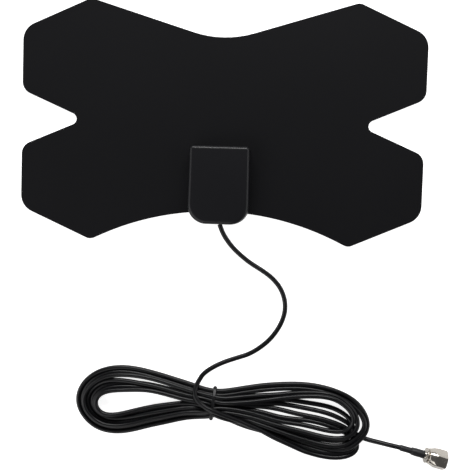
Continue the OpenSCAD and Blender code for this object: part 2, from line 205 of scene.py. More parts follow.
class HousingSettings(bpy.types.PropertyGroup):
    """Form and finish of the moulded cover."""

    top_width: FloatProperty(
        name="Upper width", description="Width of the cover at its upper end",
        default=37.8 * MM, unit="LENGTH")
    lower_radius: FloatProperty(
        name="Lower corners", description="Radius of the two lower corners",
        default=12 * MM, unit="LENGTH")
    upper_radius: FloatProperty(
        name="Upper corners", description="Radius of the two upper corners",
        default=2.4 * MM, unit="LENGTH")
    rim_radius: FloatProperty(
        name="Rim", description="Radius of the rounded rim",
        default=2.3 * MM, unit="LENGTH")
    wall: FloatProperty(
        name="Wall", description="Thickness of the moulded wall",
        default=1.6 * MM, unit="LENGTH")
    draft: FloatProperty(
        name="Draft", description="How far each wall leans in over its height",
        default=0.25 * MM, unit="LENGTH")
    colour: FloatVectorProperty(
        name="Moulding colour", description="Colour of the black moulding",
        default=linear("101013"), size=4, subtype="COLOR", min=0, max=1)


class CordSettings(bpy.types.PropertyGroup):
    """Form and finish of the coaxial cord and its tie."""

    diameter: FloatProperty(
        name="Diameter", description="Outer diameter of the coaxial cord",
        default=3 * MM, unit="LENGTH")
    settle_steps: IntProperty(
        name="Settling", description="Number of steps in which the hank's turns settle",
        default=400, min=50, max=1000)
    tie_width: FloatProperty(
        name="Tie width", description="Width of the tie round the hank",
        default=2 * MM, unit="LENGTH")
    tie_thickness: FloatProperty(
        name="Tie thickness", description="Thickness of the tie round the hank",
        default=0.7 * MM, unit="LENGTH")
    colour: FloatVectorProperty(
        name="Jacket colour", description="Colour of the cord's black jacket",
        default=linear("0a0a0c"), size=4, subtype="COLOR", min=0, max=1)


class ConnectorSettings(bpy.types.PropertyGroup):
    """Form and finish of the screw-on connector."""

    across_flats: FloatProperty(
        name="Across flats", description="Distance across the flats of the nut",
        default=11 * MM, unit="LENGTH")
    thread_pitch: FloatProperty(
        name="Thread pitch", description="Distance between the turns of the nut's thread",
        default=0.794 * MM, unit="LENGTH")
    plating: FloatVectorProperty(
        name="Plating", description="Colour of the nickel plating",
        default=linear("cfc9c0"), size=4, subtype="COLOR", min=0, max=1)


class StageSettings(bpy.types.PropertyGroup):
    """Table and lamps."""

    table_size: FloatProperty(
        name="Table", description="Width of the pale table",
        default=3, unit="LENGTH")
    lamp_power: FloatProperty(
        name="Lamps", description="Power of the main lamp", default=9, unit="POWER")


def settings(group):
    """One of the scene's groups of settings."""
    return getattr(bpy.context.scene, "antenna_" + group)


def add(tree, kind, links=None, **values):
    """Adds a node with its settings, and links or fills its inputs."""
    made = tree.nodes.new(kind)
    for name, value in values.items():
        setattr(made, name, value)
    for socket, value in (links or {}).items():
        if isinstance(value, bpy.types.NodeSocket):
            tree.links.new(value, made.inputs[socket])
        else:
            made.inputs[socket].default_value = value
    return made


def start_material(name):
    """An empty node material with a Principled shader: (material, tree, shader)."""
    made = bpy.data.materials.new(name)
    made.use_nodes = True
    tree = made.node_tree
    tree.nodes.clear()
    shader = add(tree, "ShaderNodeBsdfPrincipled")
    add(tree, "ShaderNodeOutputMaterial", {"Surface": shader.outputs["BSDF"]})
    return made, tree, shader


def noise(tree, size, detail=2.0, stretch=(1, 1, 1), turn=(0, 0, 0)):
    """Noise on the object's own coordinates, with marks of about the given size in metres."""
    place = add(tree, "ShaderNodeTexCoord")
    mapped = add(tree, "ShaderNodeMapping",
                 {"Vector": place.outputs["Object"], "Rotation": turn, "Scale": stretch})
    return add(tree, "ShaderNodeTexNoise",
               {"Vector": mapped.outputs["Vector"], "Scale": 1 / size, "Detail": detail})


def blend_colours(tree, factor, first, second):
    """A colour between two colours."""
    mix = add(tree, "ShaderNodeMix", data_type="RGBA")
    tree.links.new(factor, mix.inputs["Factor"])
    mix.inputs["A"].default_value = first
    mix.inputs["B"].default_value = second
    return mix.outputs["Result"]


def spread_value(tree, factor, low, high):
    """A number that goes from low to high with the factor."""
    spread = add(tree, "ShaderNodeMapRange", {"Value": factor, "To Min": low, "To Max": high})
    return spread.outputs["Result"]


def bump(tree, shader, height, depth, strength=1.0):
    """Raises a surface by depth metres where height is 1."""
    raised = add(tree, "ShaderNodeBump",
                 {"Height": height, "Distance": depth, "Strength": strength})
    tree.links.new(raised.outputs["Normal"], shader.inputs["Normal"])


def grained(name, dark, light, grain, roughness, depth, clouds=40 * MM, shine=0.3):
    """A plastic with a fine grain, and a slow drift of colour over its surface."""
    made, tree, shader = start_material(name)
    fine = noise(tree, grain)
    drift = noise(tree, clouds, 1.0)
    colour = blend_colours(tree, drift.outputs["Fac"], dark, light)
    tree.links.new(colour, shader.inputs["Base Color"])
    gloss = spread_value(tree, fine.outputs["Fac"], roughness - 0.04, roughness + 0.04)
    tree.links.new(gloss, shader.inputs["Roughness"])
    bump(tree, shader, fine.outputs["Fac"], depth)
    shader.inputs["Specular IOR Level"].default_value = shine
    return made, tree, shader


def lighter(colour, times):
    """A colour made lighter, or darker below 1."""
    return (*[min(1.0, c * times) for c in colour[:3]], 1.0)


def polyester_film():
    """Matt black polyester film, cast with a fine grain: dull, with a soft sheen at low angles."""
    own = settings("panel")
    return grained("polyester_film", own.colour, lighter(own.colour, 1.25), own.grain,
                   0.6, 0.01 * MM, 70 * MM, 0.09)[0]


def moulded_abs():
    """Injection-moulded ABS from a spark-eroded tool: satin black with a fine even grain."""
    own = settings("housing")
    # The real grain is about 0.1 mm; it is drawn at 0.35 mm so that it shows
    return grained("moulded_abs", own.colour, lighter(own.colour, 1.15), 0.35 * MM,
                   0.34, 0.01 * MM, shine=0.33)[0]


def extruded_jacket():
    """Extruded soft PVC: smooth and slightly glossy, with faint waves along the cord."""
    own = settings("cord")
    return grained("extruded_pvc_jacket", own.colour, lighter(own.colour, 1.3), 5 * MM,
                   0.3, 0.004 * MM, 25 * MM, 0.3)[0]


def nylon_tie():
    """Moulded nylon band: smooth black with a waxy gloss."""
    return grained("moulded_nylon", linear("0e0e10"), linear("161618"), 0.5 * MM,
                   0.38, 0.01 * MM)[0]


def shrunk_sleeve():
    """Heat-shrunk polyolefin: satin black, with small ripples where it gripped."""
    made, tree, shader = start_material("shrunk_polyolefin")
    ripples = noise(tree, 1.1 * MM, 2.0)
    shader.inputs["Base Color"].default_value = linear("121214")
    gloss = spread_value(tree, ripples.outputs["Fac"], 0.36, 0.5)
    tree.links.new(gloss, shader.inputs["Roughness"])
    bump(tree, shader, ripples.outputs["Fac"], 0.08 * MM)
    return made


def turned_metal(name, colour, roughness, line_depth):
    """A turned and plated metal: bright, with fine rings round its axis from the tool."""
    made, tree, shader = start_material(name)
    place = add(tree, "ShaderNodeTexCoord")
    # The axis of turning is brought to X, and the rings are 0.25 mm apart
    along = add(tree, "ShaderNodeMapping", {
        "Vector": place.outputs["Object"],
        "Rotation": (0, 0, -CONNECTOR_TURN)})
    rings = add(tree, "ShaderNodeTexWave", {
        "Vector": along.outputs["Vector"], "Scale": 1 / (20 * 0.25 * MM) * math.pi,
        "Distortion": 0.6, "Detail": 1.0}, wave_type="BANDS", bands_direction="X")
    marks = noise(tree, 2.5 * MM, 3.0)
    tint = blend_colours(tree, marks.outputs["Fac"], lighter(colour, 0.86), colour)
    tree.links.new(tint, shader.inputs["Base Color"])
    gloss = spread_value(tree, marks.outputs["Fac"], roughness - 0.05, roughness + 0.08)
    tree.links.new(gloss, shader.inputs["Roughness"])
    shader.inputs["Metallic"].default_value = 1.0
    bump(tree, shader, rings.outputs["Fac"], line_depth)
    return made


def nickel_plate():
    """Nickel-plated brass, turned: bright and warm grey with faint tool rings."""
    return turned_metal("nickel_plated_brass", settings("connector").plating, 0.2, 0.004 * MM)


def bare_brass():
    """Turned brass, left bare: yellow with faint tool rings."""
    return turned_metal("turned_brass", linear("c8a24a"), 0.26, 0.004 * MM)


def rolled_foil():
    """Rolled aluminium foil: bright, with fine streaks along the rolling."""
    made, tree, shader = start_material("rolled_aluminium")
    streaks = noise(tree, 0.8 * MM, 2.0, stretch=(0.05, 1, 1))
    shader.inputs["Base Color"].default_value = linear("c4c6c9")
    shader.inputs["Metallic"].default_value = 1.0
    gloss = spread_value(tree, streaks.outputs["Fac"], 0.25, 0.42)
    tree.links.new(gloss, shader.inputs["Roughness"])
    bump(tree, shader, streaks.outputs["Fac"], 0.005 * MM)
    return made


def glass_epoxy():
    """Glass-epoxy board under green lacquer: glossy, with the weave just showing."""
    made, tree, shader = start_material("glass_epoxy_board")
    place = add(tree, "ShaderNodeTexCoord")
    # The cloth's threads are 0.5 mm apart
    weave = add(tree, "ShaderNodeTexChecker", {
        "Vector": place.outputs["Object"], "Scale": 1 / (0.5 * MM),
        "Color1": linear("1a5230"), "Color2": linear("1f5e38")})
    tree.links.new(weave.outputs["Color"], shader.inputs["Base Color"])
    shader.inputs["Roughness"].default_value = 0.25
    return made


def braided_shield():
    """Tinned copper braid: metallic, with crossing wires about 0.3 mm apart."""
    made, tree, shader = start_material("tinned_copper_braid")
    place = add(tree, "ShaderNodeTexCoord")
    wires = add(tree, "ShaderNodeTexMagic", {
        "Vector": place.outputs["Object"], "Scale": 1 / (0.3 * MM)}, turbulence_depth=1)
    colour = blend_colours(tree, wires.outputs["Fac"], linear("6f655b"), linear("b9b2a8"))
    tree.links.new(colour, shader.inputs["Base Color"])
    shader.inputs["Metallic"].default_value = 0.9
    shader.inputs["Roughness"].default_value = 0.4
    bump(tree, shader, wires.outputs["Fac"], 0.05 * MM)
    return made


def sintered_ferrite():
    """Sintered ferrite: dark grey and slightly grainy."""
    return grained("sintered_ferrite", linear("2c2c2f"), linear("3d3d40"), 0.3 * MM,
                   0.6, 0.02 * MM, 5 * MM)[0]


def enamelled_copper():
    """Copper wire under clear enamel: reddish and glossy."""
    made, tree, shader = start_material("enamelled_copper")
    tone = noise(tree, 1.5 * MM)
    colour = blend_colours(tree, tone.outputs["Fac"], linear("8f4420"), linear("b8662f"))
    tree.links.new(colour, shader.inputs["Base Color"])
    shader.inputs["Metallic"].default_value = 0.8
    shader.inputs["Roughness"].default_value = 0.25
    return made


def white_polyethylene():
    """Moulded polyethylene: milky white and waxy."""
    made, _, shader = grained("moulded_polyethylene", linear("dedbd2"), linear("eceae4"),
                              0.6 * MM, 0.4, 0.01 * MM, 4 * MM)
    shader.inputs["Subsurface Weight"].default_value = 0.1
    shader.inputs["Subsurface Scale"].default_value = 0.5 * MM
    return made


def foam_tape():
    """Acrylic foam tape: dull grey with small cells."""
    return grained("acrylic_foam", linear("7c7c78"), linear("929290"), 0.4 * MM, 0.85,
                   0.05 * MM, 10 * MM)[0]


# The finish of each material slot of the record
FINISHES = {
    "black_film": polyester_film, "black_housing": moulded_abs,
    "black_jacket": extruded_jacket, "black_tie": nylon_tie, "shrink_sleeve": shrunk_sleeve,
    "nickel": nickel_plate, "brass": bare_brass, "foil": rolled_foil, "tape": foam_tape,
    "board": glass_epoxy, "ferrite": sintered_ferrite, "copper": enamelled_copper,
    "braid": braided_shield, "white_insulator": white_polyethylene,
}
made_finishes = {}


def finish_of(slot):
    """The finish of a slot, made when it is first asked for."""
    if slot not in made_finishes:
        made_finishes[slot] = FINISHES[slot]()
    return made_finishes[slot]


def finish_nodes(slot, *nodes):
    """Gives CAD nodes a finish."""
    for name in nodes:
        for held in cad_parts[name].material_slots:
            held.material = finish_of(slot)


def finish_piece(piece, name, slot, body, *replaced):
    """Names a new piece, gives it a finish and a body, and hides the model's parts that it stands
    for.
    """
    piece.name = name
    piece.data.materials.clear()
    piece.data.materials.append(finish_of(slot))
    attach(piece, body)
    if replaced:
        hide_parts(*replaced)
    return piece


def only(piece):
    """Selects one object and makes it active."""
    bpy.ops.object.select_all(action="DESELECT")
    piece.select_set(True)
    bpy.context.view_layer.objects.active = piece


def apply_modifier(piece, kind, **values):
    """Adds a modifier with its settings and applies it."""
    only(piece)
    made = piece.modifiers.new(kind.lower(), kind)
    for name, value in values.items():
        setattr(made, name, value)
    bpy.ops.object.modifier_apply(modifier=made.name)


def carve(piece, tool, operation):
    """Joins, cuts or intersects a piece with a tool, and removes the tool."""
    apply_modifier(piece, "BOOLEAN", object=tool, operation=operation, solver="EXACT")
    bpy.data.objects.remove(tool)


def smooth(piece, angle=30):
    """Smooth shading up to an angle in degrees."""
    only(piece)
    bpy.ops.object.shade_smooth_by_angle(angle=math.radians(angle))


def pick(piece, kind, test):
    """Selects in edit mode the vertices, edges or faces that pass a test."""
    bpy.ops.mesh.select_mode(type=kind)
    bpy.ops.mesh.select_all(action="DESELECT")
    shape = bmesh.from_edit_mesh(piece.data)
    for part in {"VERT": shape.verts, "EDGE": shape.edges, "FACE": shape.faces}[kind]:
        if test(part):
            part.select_set(True)
    shape.select_flush_mode()
    bmesh.update_edit_mesh(piece.data)


def tidy_shell():
    """Merges doubled points and turns the faces outwards, in edit mode."""
    bpy.ops.mesh.select_all(action="SELECT")
    bpy.ops.mesh.remove_doubles(threshold=0.001 * MM)
    bpy.ops.mesh.normals_make_consistent(inside=False)


def draw_outline(points):
    """A chain of edges through points given in metres, left in edit mode."""
    bpy.ops.object.select_all(action="DESELECT")
    bpy.ops.mesh.primitive_plane_add(size=MM)
    bpy.ops.object.mode_set(mode="EDIT")
    bpy.ops.mesh.select_mode(type="VERT")
    bpy.ops.mesh.merge(type="CENTER")
    bpy.ops.transform.translate(value=points[0])
    for start, end in zip(points, points[1:]):
        step = Vector(end) - Vector(start)
        bpy.ops.mesh.extrude_region_move(TRANSFORM_OT_translate={"value": step})
    return bpy.context.object


def turned(outline, soft=0.12, steps=72):
    """A turned solid on the connector's axis, from (distance, radius) pairs in millimetres."""
    ring = draw_outline([(r * MM, 0, s * MM) for s, r in outline])
    bpy.ops.mesh.select_all(action="SELECT")
    bpy.ops.mesh.spin(steps=steps, angle=2 * math.pi, center=(0, 0, 0), axis=(0, 0, 1))
    tidy_shell()
    bpy.ops.object.mode_set(mode="OBJECT")
    if soft:
        soften(ring, soft * MM)
    return ring


def soften(piece, width, segments=2):
    """Rounds the edges that are sharper than 25 degrees, and clears slivers where they meet."""
    apply_modifier(piece, "BEVEL", width=width, segments=segments, limit_method="ANGLE",
                   angle_limit=math.radians(25), use_clamp_overlap=True)
    bpy.ops.object.mode_set(mode="EDIT")
    bpy.ops.mesh.select_all(action="SELECT")
    bpy.ops.mesh.dissolve_degenerate(threshold=0.01 * MM)
    bpy.ops.object.mode_set(mode="OBJECT")


def place(piece, matrix):
    """Puts a piece in place and writes the place into its mesh."""
    only(piece)
    piece.matrix_world = matrix
    bpy.ops.object.transform_apply(location=True, rotation=True, scale=True)


def rod(radius, start, end, vertices=32):
    """A plain cylinder between two points."""
    start, end = Vector(start), Vector(end)
    bpy.ops.object.select_all(action="DESELECT")
    bpy.ops.mesh.primitive_cylinder_add(
        vertices=vertices, radius=radius, depth=(end - start).length)
    turn = (end - start).to_track_quat("Z", "Y").to_matrix().to_4x4()
    made = bpy.context.object
    place(made, Matrix.Translation((start + end) / 2) @ turn)
    return made


def evened(points, count):
    """The same line as a number of evenly spaced points."""
    along = np.concatenate([[0], np.cumsum(np.linalg.norm(np.diff(points, axis=0), axis=1))])
    at = np.linspace(0, along[-1], count)
    return np.stack([np.interp(at, along, column) for column in points.T], axis=1)


def curved(points, per_span=16):
    """A smooth line through points: a cubic between each pair, level with their neighbours."""
    points = np.asarray(points, float)
    ends = np.vstack([2 * points[0] - points[1], points, 2 * points[-1] - points[-2]])
    t = np.linspace(0, 1, per_span, endpoint=False)[:, None]
    spans = []
    for before, a, b, after in zip(ends, ends[1:], ends[2:], ends[3:]):
        leave, arrive = (b - before) / 2, (after - a) / 2
        spans.append((2 * t**3 - 3 * t**2 + 1) * a + (t**3 - 2 * t**2 + t) * leave
                     + (3 * t**2 - 2 * t**3) * b + (t**3 - t**2) * arrive)
    return np.vstack([*spans, points[-1:]])


def length_of(points):
    """The length of a line."""
    return float(np.linalg.norm(np.diff(points, axis=0), axis=1).sum())


def averaged(values, weights):
    """Values averaged with their neighbours, by weights that add up to 1."""
    reach = len(weights) // 2
    padded = np.pad(values, ((reach, reach), (0, 0)), mode="edge")
    columns = [np.convolve(padded[:, k], weights, "valid") for k in range(values.shape[1])]
    return np.stack(columns, axis=1)


def track(tracks, t):
    """A blend of two neighbouring tracks: 0 is the first, 1 the second, and so on."""
    first = min(int(t), len(tracks) - 2)
    share = t - first
    outer, inner = (evened(curved(one), 20) * MM for one in tracks[first:first + 2])
    return (1 - share) * outer + share * inner


def hank_plan(radius):
    """The cord's whole route before its turns settle: each turn goes round both lobes."""
    route = [*LEAD_ROUTE, *[(x, y, TOP_OF_PILE) for x, y in CROSSING]]
    for turn, (bottom, back_set, back, top, return_track, right, left) in enumerate(TURNS):
        right_z = radius + PILE_RISE * right
        left_z = radius + PILE_RISE * left
        out = track(RIGHT_BOTTOM, bottom)
        if turn == 0:
            # The crossing runs on over the lower strands, and goes under them near the fold
            route += [(x, y, TOP_OF_PILE if x < DIVES_AT else right_z)
                      for x, y in out if x > CROSSING[-1][0] + 3 * MM]
        else:
            route += [(x, y, right_z) for x, y in out]
        route += [(x, y, right_z) for x, y in track(back_set, back)[:0:-1]]
        route += [(x, y, left_z) for x, y in track(LEFT_TOP, top)[1:]]
        route += [(x, y, left_z) for x, y in track(LEFT_BOTTOM, return_track)[:0:-1]]
    route += [(x, y, radius) for x, y in track(RIGHT_FAN, 2) if x < 86 * MM]
    return [*route, *TAIL_ROUTE]


def nearest_on_spans(p, u, q, v):
    """Where the spans p to p+u and q to q+v are nearest: their shares s and t."""
    gap = p - q
    uu, uv, vv = (u * u).sum(1), (u * v).sum(1), (v * v).sum(1)
    ug, vg = (u * gap).sum(1), (v * gap).sum(1)
    spread = uu * vv - uv * uv
    safe = np.maximum(spread, 1e-18)
    s = np.clip(np.where(spread > 1e-18, (uv * vg - vv * ug) / safe, 0.5), 0, 1)
    t = np.clip((uv * s + vg) / vv, 0, 1)
    return np.clip((uv * t - ug) / uu, 0, 1), t


def close_spans(points, diameter):
    """Pairs of spans that are near each other and not near along the cord."""
    square = ((points[:, None, :] - points[None, :, :]) ** 2).sum(2)
    first, second = np.where(np.triu(square < (2.2 * diameter) ** 2, 6))
    inner = (first < len(points) - 1) & (second < len(points) - 1)
    return first[inner], second[inner]


def push_apart(points, first, second, diameter):
    """How far each point has to move so that spans closer than a diameter part."""
    u, v = points[first + 1] - points[first], points[second + 1] - points[second]
    s, t = nearest_on_spans(points[first], u, points[second], v)
    apart = points[first] + s[:, None] * u - points[second] - t[:, None] * v
    distance = np.linalg.norm(apart, axis=1)
    hit = distance < diameter
    first, second, s, t = first[hit], second[hit], s[hit], t[hit]
    short = (diameter - distance[hit]) / 2 / np.maximum(distance[hit], 1e-7)
    push = apart[hit] * short[:, None]
    moved, count = np.zeros_like(points), np.zeros(len(points))
    for index, weight, sign in ((first, 1 - s, 1), (first + 1, s, 1),
                                (second, 1 - t, -1), (second + 1, t, -1)):
        count += np.bincount(index, weights=weight, minlength=len(points))
        for k in range(3):
            moved[:, k] += np.bincount(index, weights=sign * weight * push[:, k],
                                       minlength=len(points))
    return moved / np.maximum(count, 1)[:, None]


def settle(route, fixed, sinking, tied, own):
    """Lets the hank's turns sink, part and lie on each other, close to their planned tracks.

    The shift from the plan is what bends, so the turns keep their planned curves. The points
    before and after the fixed pair stay in place, and those of the sinking pair at their height.
    The tie holds the points from the tied one on.
    """
    count, radius = len(route), own.diameter / 2
    plan = route * (1, 1, 0)
    shift = route - plan
    kept = shift.copy()
    free = np.stack([ramped(count, *fixed), ramped(count, *fixed), ramped(count, *sinking)], 1)
    in_lobes = np.clip(np.abs(plan[:, :1]) / (25 * MM) - 1, 0, 1)
    held_back = COME_BACK + COME_BACK_MORE_IN_LOBES * in_lobes
    under_tie = np.arange(count) > tied
    push_weights = np.bartlett(9)[1:-1]
    push_weights /= push_weights.sum()
    for step in range(own.settle_steps):
        if step % 8 == 0:
            first, second = close_spans((plan + shift).astype(np.float32), own.diameter)
        shift[:, 2] -= SINK * own.diameter * free[:, 2]
        for reach, share in STRAIGHTEN:
            middle = (shift[:-2 * reach] + shift[2 * reach:]) / 2
            inner = slice(reach, -reach)
            shift[inner] += share * free[inner] * (middle - shift[inner])
        shift[:, :2] *= 1 - held_back * free[:, :2]
        for _ in range(3):
            push = push_apart(plan + shift, first, second, TOUCH * own.diameter)
            shift += PART * averaged(push, push_weights) * free
        x, y, z = (plan + shift).T
        floor = radius + own.tie_thickness * np.exp(-(x / (3 * own.diameter)) ** 2) * under_tie
        near = (np.abs(x) < WAIST_REACH) & under_tie
        half = WAIST_HALF + WAIST_FLARE * x**2
        held = np.clip(y, WAIST_Y - half, WAIST_Y + half)
        # The tie's upper edge holds three layers of strands, and its lower edge two
        roof = WAIST_ROOF + own.diameter * np.clip((y - WAIST_Y) / (4 * MM) + 0.5, 0, 1)
        shift[:, 1] += np.where(near, HOLD_IN_TIE * (held - y), 0) * free[:, 1]
        shift[:, 2] += np.where(near, HOLD_IN_TIE * np.minimum(roof - z, 0), 0) * free[:, 2]
        shift[:, 2] = np.maximum(shift[:, 2], floor)
        shift = np.where(free > 0, shift, kept)
    return plan + shift


def ramped(count, start, end):
    """1 in the middle, 0 before the start and after the end, with soft steps."""
    index = np.arange(count)
    return np.clip(np.minimum(index - start + 1, end - index) / END_POINTS, 0, 1)


def hump_over_tie(line, start, stop, tie):
    """Lifts the crossing stretch of the cord by the tie's thickness where it passes over it."""
    side = np.array([math.cos(TIE_TURN), math.sin(TIE_TURN)])
    off_plane = (line[:, :2] - (0, WAIST_Y)) @ side
    index = np.arange(len(line))
    here = (index >= start) & (index < stop)
    line[:, 2] += np.where(here, tie * np.exp(-(off_plane / (4 * MM)) ** 2), 0)
    return line


def cord_line():
    """The cord's centreline from the housing to the connector, and where it crosses the waist."""
    own = settings("cord")
    route = curved(hank_plan(own.diameter / 2))
    plan = evened(route, round(length_of(route) / PLAN_STEP) + 1)
    lead = int(length_of(curved(LEAD_ROUTE)) / PLAN_STEP) - 3
    tail = len(plan) - int(length_of(curved(TAIL_ROUTE[2:])) / PLAN_STEP)
    lifted = lead - RISE_POINTS
    crossing = lead + int(length_of(curved(CROSSING)) / PLAN_STEP)
    rise = np.clip((np.arange(len(plan)) - lifted) / (lead + 3 - lifted), 0, 1)
    before = np.arange(len(plan)) < lead + 3
    plan[:, 2] = np.where(before, np.maximum(plan[:, 2], TOP_OF_PILE * rise**2), plan[:, 2])
    bell = np.exp(-0.5 * (np.arange(-6, 7) / 1.2) ** 2)
    bell /= bell.sum()
    plan[lead:tail] = averaged(plan, bell)[lead:tail]
    line = settle(plan, (lead, tail), (lifted, tail), crossing, own)
    line[lead:tail] = averaged(line, bell)[lead:tail]
    # The soft jackets give a little where the tie presses the pile down
    floor = own.diameter / 2 + own.tie_thickness
    press = WAIST_PRESS * np.exp(-(line[:, 0] / (30 * MM)) ** 2)
    line[lifted:, 2] -= (press * np.maximum(line[:, 2] - floor, 0))[lifted:]
    return hump_over_tie(line, lead, crossing, own.tie_thickness), lead, crossing


class ANTENNA_OT_stage(bpy.types.Operator):
    """Add the camera, the pale table and the soft lamps"""

    bl_idname = "antenna.stage"
    bl_label = "Stage"

    def execute(self, context):
        self.add_camera(context)
        self.add_table()
        self.add_lamps()
        self.add_world(context)
        context.scene.view_settings.view_transform = "Standard"
        return {"FINISHED"}

    def add_camera(self, context):
        # Almost straight above the panel, as in the photograph
        lens = bpy.data.cameras.new("camera")
        lens.lens = 50
        lens.sensor_width = 36
        lens.clip_start, lens.clip_end = 0.01, 20
        camera = bpy.data.objects.new("camera", lens)
        camera.location = (0.025763, -0.050329, 0.413726)
        camera.rotation_euler = [math.radians(a) for a in (-2.7304, 2.1672, 1.7384)]
        context.scene.collection.objects.link(camera)
        context.scene.camera = camera

    def add_table(self):
        size = settings("stage").table_size
        bpy.ops.object.select_all(action="DESELECT")
        bpy.ops.mesh.primitive_plane_add(size=size, location=(0, 0, -0.05 * MM))
        table = bpy.context.object
        table.name = "table"
        bpy.ops.object.transform_apply(location=True, rotation=True, scale=True)
        # Matt white board, which the camera sees as plain white and the metal as a dim grey
        made, tree, shader = start_material("white_board")
        shader.inputs["Base Color"].default_value = linear("e6e6e6")
        shader.inputs["Roughness"].default_value = 0.9
        shader.inputs["Specular IOR Level"].default_value = 0.1
        ray = add(tree, "ShaderNodeLightPath")
        mirrored = add(tree, "ShaderNodeMath", {0: ray.outputs["Is Glossy Ray"],
                                                1: ray.outputs["Is Transmission Ray"]},
                       operation="MAXIMUM")
        seen = add(tree, "ShaderNodeMath", {0: mirrored.outputs[0], 1: 0.25},
                   operation="MULTIPLY")
        seen = add(tree, "ShaderNodeMath", {0: ray.outputs["Is Camera Ray"], 1: 0.85,
                                            2: seen.outputs[0]}, operation="MULTIPLY_ADD")
        white = add(tree, "ShaderNodeEmission", {"Color": (1, 1, 1, 1),
                                                 "Strength": seen.outputs[0]})
        both = add(tree, "ShaderNodeAddShader", {0: shader.outputs["BSDF"],
                                                 1: white.outputs["Emission"]})
        out = next(n for n in tree.nodes if n.type == "OUTPUT_MATERIAL")
        tree.links.new(both.outputs["Shader"], out.inputs["Surface"])
        table.data.materials.append(made)

    def add_lamps(self):
        power = settings("stage").lamp_power
        lamps = {
            "lamp_above_top_edge": ((0.05, 0.75, 0.62), (1.0, 0.14), 1.1),
            "lamp_below_lower_edge": ((-0.5, -0.65, 0.62), (1.1, 0.6), 0.42),
            "lamp_left": ((-0.9, -0.1, 0.5), (1.0, 0.7), 0.28),
            "lamp_right": ((0.95, 0.0, 0.5), (1.0, 0.7), 0.32),
        }
        for name, (spot, size, share) in lamps.items():
            made = bpy.data.lights.new(name, "AREA")
            made.shape = "RECTANGLE"
            made.size, made.size_y = size
            made.energy = power * share
            lamp = bpy.data.objects.new(name, made)
            lamp.location = spot
            aim = Vector((0, -0.05, 0)) - Vector(spot)
            lamp.rotation_euler = aim.to_track_quat("-Z", "Y").to_euler()
            bpy.context.scene.collection.objects.link(lamp)

    def add_world(self, context):
        world = bpy.data.worlds.new("studio")
        world.use_nodes = True
        tree = world.node_tree
        tree.nodes.clear()
        ray = add(tree, "ShaderNodeLightPath")
        air = add(tree, "ShaderNodeBackground", {"Color": (1, 1, 1, 1), "Strength": 0.1})
        white = add(tree, "ShaderNodeBackground", {"Color": (1, 1, 1, 1), "Strength": 1.0})
        seen = add(tree, "ShaderNodeMixShader", {
            0: ray.outputs["Is Camera Ray"], 1: air.outputs[0], 2: white.outputs[0]})
        add(tree, "ShaderNodeOutputWorld", {"Surface": seen.outputs[0]})
        context.scene.world = world


